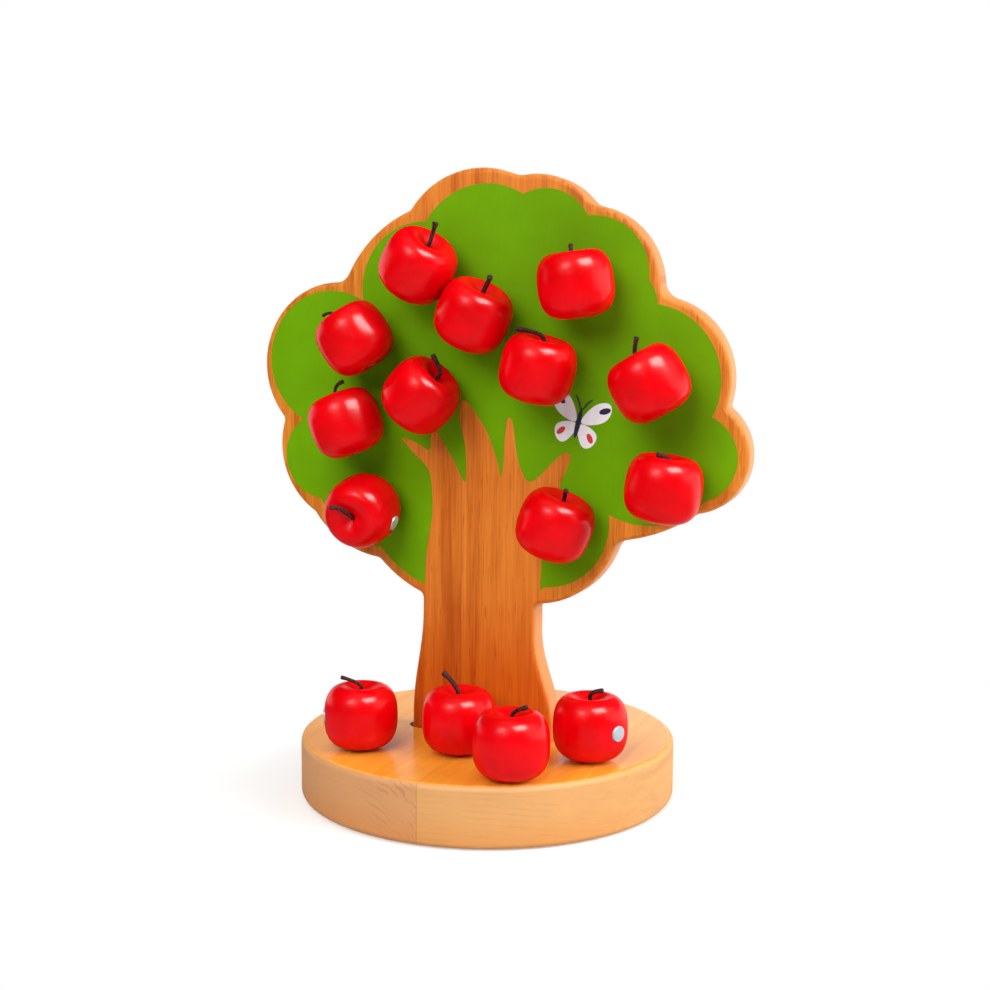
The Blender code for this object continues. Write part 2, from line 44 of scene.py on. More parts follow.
# Sizes repeated from the part's source
FIT_GAP = 0.3 * MM
BASE_RADIUS = 70.5 * MM
BASE_THICKNESS = 22.0 * MM
BASE_ROUNDING = 2.2 * MM
SLOT_DEPTH = 13.0 * MM
SLOT_END_PLAY = 2.7 * MM
TRUNK_HEIGHT = 48.9 * MM
CROWN_WIDTH = 190.0 * MM
CROWN_HEIGHT_SHARE = 0.848
CROWN_MIDDLE_SHARE = 0.43
CROWN_TOP = BASE_THICKNESS + TRUNK_HEIGHT + CROWN_HEIGHT_SHARE * CROWN_WIDTH
CROWN_MIDDLE = CROWN_TOP - CROWN_MIDDLE_SHARE * CROWN_WIDTH
BOARD_THICKNESS = 11.0 * MM
BOARD_SETBACK = -2.2 * MM
BOARD_FRONT = BOARD_SETBACK - BOARD_THICKNESS / 2
BOARD_BACK = BOARD_SETBACK + BOARD_THICKNESS / 2
BOARD_ROUNDING = 2.0 * MM
NOTCH_ROUNDING = 2.5 * MM
FOOT_HALF = 28.2 * MM
FOOT_BOTTOM = BASE_THICKNESS - SLOT_DEPTH + FIT_GAP
FLARE_RISE = 6.0 * MM
WAIST_LEFT = 24.1 * MM
WAIST_LEFT_DROP = 4.5 * MM
WAIST_RIGHT = 21.1 * MM
WAIST_RIGHT_DROP = 9.1 * MM
FRONT_SKIN = 2.5 * MM
STEEL_THICKNESS = 1.0 * MM
POCKET_WALL = 9.0 * MM
PRINT_THICKNESS = 0.2 * MM
PRINT_FRONT = BOARD_FRONT - FIT_GAP - PRINT_THICKNESS
APPLE_DIAMETER = 26.7 * MM
APPLE_RADIUS = APPLE_DIAMETER / 2
BARREL_ABOVE = 12.2 * MM
BARREL_BELOW = 11.7 * MM
BARREL_SQUARENESS = 3.7
BARREL_TAPER_SHARE = 0.11
DIMPLE_DEPTH = 3.8 * MM
DIMPLE_RADIUS = 5.0 * MM
DIMPLE_BOTTOM = 8.53 * MM
MAGNET_RADIUS = 2.8 * MM
MAGNET_STAND = 0.3 * MM
STEM_RADIUS = 0.65 * MM
STEM_LENGTH = 9.0 * MM
STEM_RISE = 1.8 * MM

# Lobes of the board's crown, clockwise from the lower left, in shares of the crown's
# width: centre across, centre down from the top, radius, rounding of the notch that follows
BOARD_LOBES = (
    (-0.034, 0.592, 0.256, 0.020),
    (-0.204, 0.568, 0.198, 0.020),
    (-0.285, 0.542, 0.160, 0.013),
    (-0.315, 0.379, 0.164, 0.030),
    (-0.066, 0.312, 0.251, 0.016),
    (-0.010, 0.175, 0.175, 0.052),
    (0.101, 0.157, 0.142, 0.032),
    (0.194, 0.227, 0.154, 0.037),
    (0.330, 0.396, 0.154, 0.013),
    (0.411, 0.534, 0.110, 0.016),
    (0.240, 0.389, 0.315, 0.032),
    (0.104, 0.661, 0.174, 0.013),
)
# The print's lobes, clockwise too, with sharp notches
PRINT_LOBES = (
    (-0.045, 0.604, 0.220), (-0.211, 0.589, 0.153), (-0.343, 0.563, 0.087),
    (-0.326, 0.369, 0.137), (-0.127, 0.229, 0.129), (0.004, 0.175, 0.144),
    (0.123, 0.139, 0.096), (0.218, 0.205, 0.110), (0.265, 0.264, 0.080),
    (0.324, 0.399, 0.142), (0.417, 0.539, 0.083), (0.328, 0.518, 0.151),
    (0.131, 0.671, 0.128),
)
# Bare wood of the trunk and branches, clockwise from the trunk's left edge
TRUNK = (
    (-0.120, 0.810), (-0.119, 0.763), (-0.112, 0.713), (-0.103, 0.665), (-0.107, 0.592),
    (-0.121, 0.571), (-0.143, 0.552), (-0.172, 0.523), (-0.168, 0.520), (-0.136, 0.530),
    (-0.109, 0.548), (-0.108, 0.515), (-0.102, 0.495), (-0.092, 0.511), (-0.056, 0.566),
    (-0.032, 0.614), (-0.033, 0.536), (-0.049, 0.480), (-0.042, 0.439), (-0.025, 0.453),
    (0.010, 0.500), (0.032, 0.557), (0.042, 0.600), (0.050, 0.475), (0.063, 0.475),
    (0.074, 0.560), (0.098, 0.607), (0.164, 0.537), (0.186, 0.541), (0.162, 0.598),
    (0.134, 0.668), (0.125, 0.747), (0.123, 0.807),
)

# Crown apples: place in apple diameters from the crown's middle, tilt, nod, and the stem's
# bend and tip in stem lengths from the dimple's bottom
CROWN_APPLES = (
    ((-0.726, 1.720), 36.8, 14.0, (-0.10, 0.02, 0.60), (-0.23, 0.08, 0.96)),
    ((0.083, 1.058), 27.6, 9.4, (0.12, -0.17, 0.65), (0.16, -0.34, 0.87)),
    ((1.504, 1.466), -7.3, 3.5, (-0.13, 0.31, 0.57), (-0.21, 0.65, 0.54)),
    ((-1.670, 0.738), -33.2, 5.9, (-0.24, 0.05, 0.61), (-0.65, 0.05, 0.59)),
    ((-0.678, -0.021), 43.8, 6.1, (0.34, -0.08, 0.46), (-0.64, -0.19, 0.73)),
    ((-1.816, -0.428), -22.7, 0.0, (-0.07, -0.06, 0.69), (0.43, 0.21, 0.71)),
    ((0.996, 0.367), 15.0, 5.1, (0.09, 0.10, 0.54), (-1.10, -0.35, 0.39)),
    ((2.510, 0.202), -30.0, 4.8, (0.06, -0.03, 0.38), (0.44, 0.03, 0.81)),
    ((1.260, -1.688), 21.4, 3.2, (0.01, -0.32, 0.55), (0.09, -0.60, 0.69)),
    ((2.720, -1.134), 8.3, 0.7, (0.31, -0.36, 0.27), (-0.33, -0.45, 0.35)),
)
# The apple that hangs by its bottom: place, droop, roll, and the stem's bend and tip
END_ON = ((-1.588, -1.640), 11.0, 251.0, (-0.19, 0.60, 0.38), (-0.65, 0.56, 0.61))
# Base apples: place in base radii, spin, and the stem's bend and tip
STANDING_APPLES = (
    ((-0.481, -0.564), 118.0, (0.25, 0.00, 0.35), (-0.68, -0.37, 0.63)),
    ((0.019, -0.451), -20.0, (-0.25, 0.05, 0.58), (-0.67, -0.01, 0.90)),
    ((0.418, -0.757), 10.0, (0.16, -0.18, 0.43), (0.67, -0.16, 0.57)),
    ((0.676, -0.310), -115.0, (-0.12, -0.22, 0.51), (0.54, -0.19, 0.58)),
)

# Sizes of the dressed pieces alone, and how finely they are cut
WELD_DISTANCE = 0.004 * MM
ARC_STEP = math.radians(3.5)
FILLET_STEP = math.radians(12.0)
SLOT_STEP = math.radians(9.0)
FLARE_STEPS = 24
RIM_STEPS = 8
BASE_SIDES = 180
CUT_OVERRUN = 2.0 * MM
PANEL_PLAY = 0.12 * MM
PANEL_ROUNDING = 0.15 * MM
INK_FRONT = BOARD_FRONT - 0.12 * MM
INK_BACK = BOARD_FRONT + 0.05 * MM
APPLE_SIDES = 64
DISC_SIDES = 40
DIMPLE_START = 1.3 * MM
DIMPLE_STEP = 0.75 * MM
DIMPLE_STEPS = 4
TOP_ARC_START = 4.0 * MM
TOP_ARC_REACH = math.radians(84.0)
TOP_ARC_STEPS = 30
BOTTOM_ARC_REACH = math.radians(78.0)
BOTTOM_ARC_STEPS = 25

# Turns what faces up to face the back
UP_TO_BACK = Matrix.Rotation(-math.pi / 2, 4, "X")

# Profiles for the lathe in millimetres: the stem's hole as radius and depth below the
# dimple's bottom, the recess of the bottom magnet as radius and height above the flat, and
# the cutter of the side magnet's recess as radius and distance out from the barrel
STEM_HOLE = ((0.0, 2.6), (0.92, 2.5), (0.95, 0.4), (1.08, 0.04))
BOTTOM_RECESS = ((4.2, 0.0), (3.05, 0.0), (2.95, 0.1), (2.95, 1.0), (0.0, 1.0))
SIDE_RECESS = ((0.0, 3.0), (2.96, 3.0), (2.96, -0.9), (0.0, -0.9))
# Magnets' discs as front and back, measured from the apple's centre, and bevel
SIDE_DISC = (APPLE_RADIUS + MAGNET_STAND, APPLE_RADIUS - 0.8 * MM, 0.25 * MM)
BOTTOM_DISC = (BARREL_BELOW - 0.5 * MM, BARREL_BELOW - 0.98 * MM, 0.2 * MM)

# Stems: seat below the dimple's bottom, points and sides, unevenness as a share of the
# radius, its noise's scale and shift from stem to stem, where on the way the tip starts to
# thicken, and the tip's rounding as millimetres past the end and shares of the radius
CORD_SEAT = 2.2 * MM
STEM_POINTS = 26
STEM_SIDES = 12
STEM_UNEVENNESS = 0.07
STEM_NOISE = 900.0
STEM_NOISE_SHIFT = 7.0
KNOB_START = 0.86
TIP_ROUNDING = ((0.18, 0.93), (0.32, 0.70), (0.38, 0.35))
# A stem's thickness and its tip's extra as shares of its radius, by the apple's number
# where they aren't the usual ones
USUAL_STEM = (1.15, 0.25)
STEMS = {1: (1.22, 0.75), 2: (1.30, 0.40), 4: (0.85, 0.20), 6: (1.00, 0.25), 10: (1.28, 0.10),
         12: (0.95, 0.25), 13: (1.25, 0.35)}

# The printed butterfly in millimetres: its place, its wings' reach, rise and drop, a feeler,
# its spots as place, half sizes, turn and ink, its body, and how far each stands proud
BUTTERFLY_PLACE = (37.2, 141.0)
BUTTERFLY_TURN = math.radians(-14.0)
WING_SIZES = (11.5, 10.0, 9.0)
FEELER = ((0.1, 4.6), (1.4, 7.6), (3.2, 9.4), (3.6, 9.1), (1.9, 7.3), (0.6, 4.4))
SPOTS = (((8.6, 6.3), (2.2, 1.1), 28.0, "navy"), ((5.6, -4.6), (1.9, 1.0), -52.0, "scarlet"))
BODY_PLACE = (0.0, -0.4)
BODY_HALVES = (0.95, 5.6)
OVAL_POINTS = 28
WING_LIFT = 0.15
SPOT_LIFT = 0.17
BODY_LIFT = 0.18
MOTIF_BACK = BOARD_FRONT - 0.10 * MM

# Glue joints across the board, the base and the back panel
BOARD_JOINTS = (-78.0 * MM, -43.0 * MM, -8.0 * MM, 30.0 * MM, 66.0 * MM)
BASE_JOINTS = (2.0 * MM,)
PANEL_JOINTS = (-60.0 * MM, -22.0 * MM, 17.0 * MM, 52.0 * MM)

# Wood: roughness, its noises' scales across and along the grain, and how much darker pores
# and sides are than the faces
WOOD_ROUGHNESS = 0.48
STREAKS = (230.0, 8.0)
FINE_GRAIN = (1050.0, 38.0)
CLOUDS = (45.0, 5.0)
PORES = (1700.0, 80.0)
BLOTCHES = (110.0, 26.0)
PORE_SHADE = 0.45
SIDE_SHADE = 0.86

# The base's growth rings, left and right of its joint: centres across and up, strength.
# Then how close and how warped they are, and the stretch where they fade to the left.
RING_CENTRES_ACROSS = (-26.0 * MM, 20.0 * MM)
RING_CENTRES_UP = (-30.0 * MM, -160.0 * MM)
RING_STRENGTHS = (1.0, 0.28)
RING_DENSITY = 2900.0
RING_WARP = 16.0 * MM
RING_FADE = (-30.0 * MM, -4.0 * MM)

# The photograph's camera: turn about the part, pitch, yaw and roll in radians, place in
# metres, and focal length in the photograph's pixels
CAMERA_TURN = math.radians(21.39)
CAMERA_PITCH = 0.1135
CAMERA_YAW = -0.004
CAMERA_ROLL = 0.0072
CAMERA_PLACE = (0.1961, -0.5006, 0.1734)
FOCAL_PIXELS = 1443.71
PHOTO_WIDTH = 990.0
SENSOR_WIDTH = 36.0
CLIP_START = 0.01

# The studio's levels: the light that the room gives, and how bright the dim room, the back
# wall and the table look in reflections. Then the floor's grey for bounced light.
WORLD_LEVEL = 0.11
ROOM_LEVEL = 0.02
WALL_LEVEL = 2.2
TABLE_LEVEL = 0.40
FLOOR_GREY = 0.66
WHITE = (1.0, 1.0, 1.0, 1.0)
ROOM_TINT = (1.0, 0.99, 0.97, 1.0)
LAMP_TINT = (1.0, 0.985, 0.96)
LAMP_TARGET = (0.0, 0.0, 0.12)
FLOOR_HALF = 3
FLOOR_DROP = 0.4 * MM

# Softboxes as azimuth, elevation, distance, width, height, power, and whether the softbox
# shows in reflections and gives no light, or the other way round
LAMPS = (
    (-9.0, 34.0, 1.3, 0.85, 0.85, 14.2, False),
    (95.0, 26.0, 1.2, 1.10, 0.80, 18.5, False),
    (-20.0, 78.0, 1.1, 0.80, 0.80, 4.5, False),
    (165.0, 30.0, 1.4, 1.00, 0.80, 4.0, False),
    (-11.0, 35.0, 1.3, 0.36, 0.36, 4.2, True),
    (59.0, 47.0, 1.2, 0.70, 0.48, 30.0, True),
)


def in_scene(name, data):
    """A new object, linked to the scene."""
    obj = bpy.data.objects.new(name, data)
    bpy.context.scene.collection.objects.link(obj)
    return obj


def place_camera():
    """The photograph's camera, in the part's own directions."""
    right = Vector((math.cos(CAMERA_YAW), math.sin(CAMERA_YAW), 0.0))
    level = Vector((-math.sin(CAMERA_YAW), math.cos(CAMERA_YAW), 0.0))
    upright = Vector((0.0, 0.0, 1.0))
    forward = level * math.cos(CAMERA_PITCH) - upright * math.sin(CAMERA_PITCH)
    up = level * math.sin(CAMERA_PITCH) + upright * math.cos(CAMERA_PITCH)
    across = right * math.cos(CAMERA_ROLL) + up * math.sin(CAMERA_ROLL)
    above = up * math.cos(CAMERA_ROLL) - right * math.sin(CAMERA_ROLL)
    turn = Matrix.Rotation(CAMERA_TURN, 3, "Z")
    basis = Matrix((turn @ across, turn @ above, turn @ -forward)).transposed()
    camera = in_scene("camera", bpy.data.cameras.new("camera"))
    camera.data.sensor_width = SENSOR_WIDTH
    camera.data.lens = SENSOR_WIDTH * FOCAL_PIXELS / PHOTO_WIDTH
    camera.data.clip_start = CLIP_START
    camera.matrix_world = Matrix.Translation(CAMERA_PLACE) @ basis.to_4x4()
    bpy.context.scene.camera = camera


# Materials

class Nodes:
    """A node tree of a material or the world, and short ways to add nodes to it."""

    def __init__(self, owner):
        owner.use_nodes = True
        self.tree = owner.node_tree

    def add(self, kind, inputs=None, **settings):
        """A node with its settings, and its inputs by name or number."""
        node = self.tree.nodes.new(kind)
        for key, value in settings.items():
            setattr(node, key, value)
        for key, value in (inputs or {}).items():
            self.feed(value, node.inputs[key])
        return node

    def feed(self, value, socket):
        """Links an output to the socket, or sets the socket to a plain value."""
        if isinstance(value, bpy.types.NodeSocket):
            self.tree.links.new(value, socket)
        else:
            socket.default_value = value

    def math(self, operation, first, second=0.0):
        return self.add("ShaderNodeMath", {0: first, 1: second}, operation=operation).outputs[0]

    def times(self, first, second):
        return self.math("MULTIPLY", first, second)

    def between(self, value, low, high, to_low=0.0, to_high=1.0):
        """The value from low to high, smoothly turned into to_low to to_high."""
        return self.add("ShaderNodeMapRange",
                        {"Value": value, "From Min": low, "From Max": high, "To Min": to_low,
                         "To Max": to_high}, interpolation_type="SMOOTHSTEP").outputs[0]


class Shader(Nodes):
    """A material with its Principled shader and its textures."""

    def __init__(self, name, roughness, **constants):
        self.material = bpy.data.materials.new(name)
        super().__init__(self.material)
        self.surface = self.tree.nodes["Principled BSDF"]
        self.surface.inputs["Roughness"].default_value = roughness
        for key, value in constants.items():
            self.surface.inputs[key.replace("_", " ")].default_value = value
        self.coordinates = self.add("ShaderNodeTexCoord")

    def axis(self, output, which):
        """One part of the object's coordinates or of the normal."""
        split = self.add("ShaderNodeSeparateXYZ", {"Vector": self.coordinates.outputs[output]})
        return split.outputs[which]

    def speckle(self, scale, detail=3.0, roughness=0.55, distortion=0.0):
        """Noise in the object's directions, with one scale or one for each direction."""
        if isinstance(scale, float):
            scale = (scale, scale, scale)
        mapping = self.add("ShaderNodeMapping", {"Vector": self.coordinates.outputs["Object"],
                                                 "Scale": scale})
        return self.add("ShaderNodeTexNoise",
                        {"Vector": mapping.outputs[0], "Scale": 1.0, "Detail": detail,
                         "Roughness": roughness, "Distortion": distortion}).outputs[0]

    def ramp(self, value, *stops):
        node = self.add("ShaderNodeValToRGB", {0: value})
        elements = node.color_ramp.elements
        while len(elements) < len(stops):
            elements.new(0.5)
        for element, (position, colour) in zip(elements, stops):
            element.position = position
            element.color = colour
        return node.outputs[0]

    def mix(self, share, first, second, blend="MIX"):
        node = self.add("ShaderNodeMix", {0: share, 6: first, 7: second}, data_type="RGBA",
                        blend_type=blend)
        return node.outputs[2]

    def colour(self, value):
        self.feed(value, self.surface.inputs["Base Color"])

    def bump(self, height, distance, strength):
        node = self.add("ShaderNodeBump", {"Height": height, "Distance": distance,
                                           "Strength": strength})
        self.feed(node.outputs[0], self.surface.inputs["Normal"])


def srgb(red, green, blue):
    """A colour as it reads on screen, from 0 to 255, as the shader's linear colour."""
    linear = []
    for value in (red, green, blue):
        value /= 255.0
        linear.append(value / 12.92 if value <= 0.04045 else ((value + 0.055) / 1.055) ** 2.4)
    return (*linear, 1.0)


def darker(colour, share):
    return tuple(share * c for c in colour[:3]) + (1.0,)


class Wood(Shader):
    """Waxed light wood in glued strips, its grain along one axis (1 is Y, 2 is Z)."""

    def __init__(self, name, along, joints, tones, gloss=0.2, pores=0.5):
        super().__init__(name, WOOD_ROUGHNESS, Specular_IOR_Level=gloss)
        self.along, self.joints = along, joints
        self.dark, middle, light = tones
        self.across = self.axis("Object", 0)
        # Each strip has its own tone, from its number counted across.
        strip = 0.0
        for joint in joints:
            strip = self.math("ADD", strip, self.math("GREATER_THAN", self.across, joint))
        tone = self.add("ShaderNodeTexWhiteNoise", {"W": strip}, noise_dimensions="1D").outputs[0]
        streaks = self.grain(STREAKS, detail=4.0, distortion=0.6)
        self.fine = self.grain(FINE_GRAIN, roughness=0.6, distortion=0.3)
        clouds = self.grain(CLOUDS, detail=2.0)
        value = 0.0
        for part, share in ((streaks, 0.42), (self.fine, 0.34), (clouds, 0.24), (tone, 0.08)):
            value = self.math("ADD", value, self.times(part, share))
        self.value = self.math("SUBTRACT", value, 0.04)
        self.pores = self.between(self.grain(PORES, detail=1.0), 0.64, 0.74)
        face = self.ramp(self.value, (0.39, self.dark), (0.49, middle), (0.60, light))
        self.face = self.mix(self.times(self.pores, pores), face, darker(self.dark, PORE_SHADE))

    def grain(self, scales, **more):
        """Noise stretched along the grain."""
        across, lengthways = scales
        scale = [across, across, across]
        scale[self.along] = lengthways
        return self.speckle(tuple(scale), **more)

    def band(self, start, end, share):
        """A darker stretch across, deepening from its start to its end."""
        inside = self.times(self.between(self.across, start, (start + 2 * end) / 3),
                            self.math("LESS_THAN", self.across, end))
        blotches = self.between(self.grain(BLOTCHES), 0.35, 0.62, 0.3, 1.0)
        amount = self.times(self.times(inside, blotches), share)
        self.face = self.mix(amount, self.face, self.dark)

    def tint(self, share, factor):
        """Multiplies the face's colour, as far as the share goes."""
        self.face = self.mix(share, self.face, (*factor, 1.0), "MULTIPLY")

    def finish(self, edge, glue, end_grain=None, turn=(0.35, 0.92)):
        """The sides, the glue joints and a fine relief. turn is where a side becomes face."""
        dots = self.between(self.speckle(1100.0, detail=2.0), 0.56, 0.72, 0.0, 0.3)
        end_face = self.mix(self.speckle(60.0, detail=4.0, distortion=1.2), edge,
                            darker(edge, SIDE_SHADE))
        end_face = self.mix(dots, end_face, self.dark)
        if end_grain:
            end_face = end_grain(end_face)
        ends = self.math("ABSOLUTE", self.axis("Normal", self.along))
        facing = self.math("ABSOLUTE", self.axis("Normal", 1 if self.along == 2 else 2))
        long_side = self.mix(self.between(self.value, 0.40, 0.60), darker(edge, SIDE_SHADE), edge)
        side = self.mix(self.between(ends, 0.15, 0.75), long_side, end_face)
        body = self.mix(self.between(facing, *turn), side, self.face)
        for joint in self.joints:
            distance = self.math("ABSOLUTE", self.math("SUBTRACT", self.across, joint))
            line = self.between(distance, 0.08 * MM, 0.30 * MM, 0.40, 0.0)
            body = self.mix(line, body, glue)
        self.colour(body)
        pits = self.times(self.pores, 0.8)
        self.bump(self.math("SUBTRACT", self.fine, pits), 0.05 * MM, 0.5)
        return self.material


def board_wood():
    tones = srgb(174, 83, 11), srgb(202, 111, 30), srgb(215, 127, 43)
    wood = Wood("board_wood", 2, BOARD_JOINTS, tones, gloss=0.14)
    # Paler in the strips outside the trunk
    outer = wood.math("ADD", wood.math("LESS_THAN", wood.across, BOARD_JOINTS[1]),
                      wood.math("GREATER_THAN", wood.across, BOARD_JOINTS[3]))
    wood.tint(wood.times(outer, 0.75), (1.07, 1.30, 1.40))
    # A dark stretch left of the trunk's joint, strongest low down
    height = wood.axis("Object", 2)
    low = wood.between(height, 64.0 * MM, 96.0 * MM, 0.95, 0.20)
    wood.band(-17.0 * MM, BOARD_JOINTS[2], low)
    # Painted shade and painted warm bounce light: darker and warmer towards the foot, next to the
    # base and the apples
    wood.tint(wood.between(height, 34.0 * MM, 88.0 * MM, 1.0, 0.0), (0.90, 0.56, 0.20))
    # The sides are paler than the faces: partly the wood's cut sides, partly painted sheen along
    # the rounded edges
    return wood.finish(srgb(217, 142, 79), srgb(140, 66, 24))


def base_wood():
    tones = srgb(233, 149, 46), srgb(241, 161, 51), srgb(246, 169, 58)
    wood = Wood("base_wood", 1, BASE_JOINTS, tones, gloss=0.5, pores=0.12)
    # Polished flat on top, duller round the rim and on the side
    level = wood.math("ABSOLUTE", wood.axis("Normal", 2))
    wood.feed(wood.between(level, 0.90, 0.995, 0.62, 0.25), wood.surface.inputs["Roughness"])

    def rings(end_face):
        """Growth rings: arcs about a low centre on the left, nearly level on the right."""
        right = wood.math("GREATER_THAN", wood.across, BASE_JOINTS[0])
        centre_x = wood.between(right, 0.0, 1.0, *RING_CENTRES_ACROSS)
        centre_z = wood.between(right, 0.0, 1.0, *RING_CENTRES_UP)
        warp = wood.times(wood.speckle((85.0, 20.0, 140.0), detail=5.0), RING_WARP)
        x = wood.math("ADD", wood.math("SUBTRACT", wood.across, centre_x), warp)
        z = wood.math("SUBTRACT", wood.axis("Object", 2), centre_z)
        squares = wood.math("ADD", wood.times(x, x), wood.times(z, z))
        phase = wood.times(wood.math("SQRT", squares), RING_DENSITY)
        wave = wood.between(wood.math("SINE", phase), 0.0, 1.0)
        uneven = wood.between(wood.speckle((90.0, 40.0, 220.0)), 0.36, 0.66)
        strength = wood.times(uneven, wood.between(right, 0.0, 1.0, *RING_STRENGTHS))
        near = wood.between(wood.across, *RING_FADE, 0.06, 0.38)
        strength = wood.times(near, strength)
        # Redder left of the joint. Darker and warmer near the floor, which is painted shade
        left = wood.between(right, 0.0, 1.0, 1.0, 0.0)
        end_face = wood.mix(left, end_face, (0.93, 0.88, 1.06, 1.0), "MULTIPLY")
        low = wood.between(wood.axis("Object", 2), 1.0 * MM, 14.0 * MM, 1.0, 0.0)
        end_face = wood.mix(low, end_face, (1.0, 0.86, 0.66, 1.0), "MULTIPLY")
        return wood.mix(wood.times(wave, strength), end_face, srgb(158, 98, 52))

    return wood.finish(srgb(219, 161, 97), srgb(170, 104, 50), rings, (0.72, 0.995))


def panel_wood():
    tones = srgb(196, 124, 62), srgb(220, 152, 84), srgb(232, 172, 108)
    wood = Wood("panel_wood", 2, PANEL_JOINTS, tones)
    return wood.finish(srgb(238, 188, 130), srgb(150, 86, 40))


def crown_green():
    """Matt green ink with the board's grain just showing."""
    green = Shader("crown_green", 0.6, Specular_IOR_Level=0.04)
    cloud = green.speckle(22.0)
    grain = green.speckle((900.0, 900.0, 60.0))
    tone = green.math("ADD", green.times(cloud, 0.88), green.times(grain, 0.12))
    green.colour(green.ramp(tone, (0.36, srgb(95, 142, 2)), (0.62, srgb(102, 159, 3))))
    green.bump(grain, 0.03 * MM, 0.3)
    return green.material


def apple_lacquer():
    """Thick red lacquer with a slight ripple, its gloss weaker towards the outline."""
    red = Shader("apple_lacquer", 0.5, Specular_IOR_Level=0.0, Coat_Roughness=0.22)
    facing = red.add("ShaderNodeLayerWeight", {"Blend": 0.5}).outputs["Facing"]
    red.feed(red.between(facing, 0.45, 0.95, 0.43, 0.25), red.surface.inputs["Coat Weight"])
    cloud = red.speckle(90.0)
    red.colour(red.ramp(cloud, (0.35, srgb(206, 0, 6)), (0.65, srgb(224, 0, 12))))
    fine = red.times(red.speckle(1000.0, detail=2.0), 0.36)
    ripple = red.math("ADD", red.speckle(170.0, detail=2.0), fine)
    red.bump(ripple, 0.30 * MM, 0.35)
    return red.material


def magnet_nickel():
    nickel = Shader("magnet_nickel", 0.40, Metallic=0.50)
    scuff = nickel.speckle(900.0, detail=4.0)
    nickel.colour(nickel.ramp(scuff, (0.3, srgb(190, 198, 210)), (0.7, srgb(206, 212, 222))))
    nickel.bump(scuff, 0.01 * MM, 0.3)
    return nickel.material


def sheet_steel():
    steel = Shader("sheet_steel", 0.4, Metallic=1.0)
    brushed = steel.speckle((30.0, 900.0, 900.0), detail=4.0)
    steel.colour(steel.ramp(brushed, (0.3, srgb(150, 152, 156)), (0.7, srgb(186, 188, 192))))
    return steel.material


def stem_cord():
    cord = Shader("stem_cord", 0.7, Specular_IOR_Level=0.12)
    fibre = cord.speckle((1800.0, 1800.0, 700.0), detail=4.0)
    cord.colour(cord.ramp(fibre, (0.35, srgb(31, 14, 15)), (0.68, srgb(84, 51, 47))))
    cord.bump(fibre, 0.12 * MM, 0.7)
    return cord.material


def ink(name, colour):
    """Printed ink, a little uneven along the grain."""
    shader = Shader("ink_" + name, 0.5)
    fleck = shader.speckle((420.0, 420.0, 60.0))
    low = srgb(*(0.97 * c for c in colour))
    shader.colour(shader.ramp(fleck, (0.35, low), (0.6, srgb(*colour))))
    return shader.material


def make_materials():
    return {"board": board_wood(), "base": base_wood(), "panel": panel_wood(),
            "green": crown_green(), "red": apple_lacquer(), "nickel": magnet_nickel(),
            "steel": sheet_steel(), "cord": stem_cord(), "white": ink("white", (232, 232, 238)),
            "navy": ink("navy", (24, 30, 58)), "scarlet": ink("scarlet", (206, 26, 30))}


# Shapes

def new_object(name, mesh, material):
    obj = in_scene(name, mesh)
    mesh.materials.clear()
    mesh.materials.append(material)
    return obj


def plate(name, outline, front, back, rounding=0.0, resolution=3):
    """A flat plate in the board's plane, from an outline of points across and up."""
    curve = bpy.data.curves.new(name, "CURVE")
    curve.dimensions = "2D"
    curve.fill_mode = "BOTH"
    curve.extrude = (back - front) / 2 - rounding
    curve.bevel_depth = rounding
    curve.bevel_resolution = resolution
    curve.offset = -rounding
    spline = curve.splines.new("POLY")
    spline.points.add(len(outline) - 1)
    for point, (x, y) in zip(spline.points, outline):
        point.co = (x, y, 0.0, 1.0)
    spline.use_cyclic_u = True
    mesh = finished_mesh(in_scene(name + "_curve", curve))
    middle = Matrix.Translation((0.0, (front + back) / 2, 0.0))
    mesh.transform(middle @ Matrix.Rotation(math.pi / 2, 4, "X"))
    mesh.name = name
    return mesh


def finished_mesh(obj):
    """The object's evaluated mesh, welded. The object itself goes."""
    bpy.context.view_layer.update()
    evaluated = obj.evaluated_get(bpy.context.evaluated_depsgraph_get())
    mesh = bpy.data.meshes.new_from_object(evaluated)
    shape = bmesh.new()
    shape.from_mesh(mesh)
    bmesh.ops.remove_doubles(shape, verts=shape.verts, dist=WELD_DISTANCE)
    bmesh.ops.recalc_face_normals(shape, faces=shape.faces)
    shape.to_mesh(mesh)
    shape.free()
    bpy.data.objects.remove(obj, do_unlink=True)
    return mesh


def cut(mesh, cutter):
    """The mesh less a cutter mesh."""
    holder, tool = in_scene("holder", mesh), in_scene("tool", cutter)
    modifier = holder.modifiers.new("cut", "BOOLEAN")
    modifier.operation = "DIFFERENCE"
    modifier.solver = "EXACT"
    modifier.object = tool
    result = finished_mesh(holder)
    bpy.data.objects.remove(tool, do_unlink=True)
    return result


def shade(obj, angle=40.0):
    """Smooth shading that keeps flat faces flat."""
    obj.data.shade_smooth()
    obj.data.set_sharp_from_angle(angle=math.radians(angle))
    weighted = obj.modifiers.new("weighted", "WEIGHTED_NORMAL")
    weighted.keep_sharp = True
    weighted.weight = 80


def all_round(count):
    """Angles spread evenly all round."""
    return [2 * math.pi * i / count for i in range(count)]


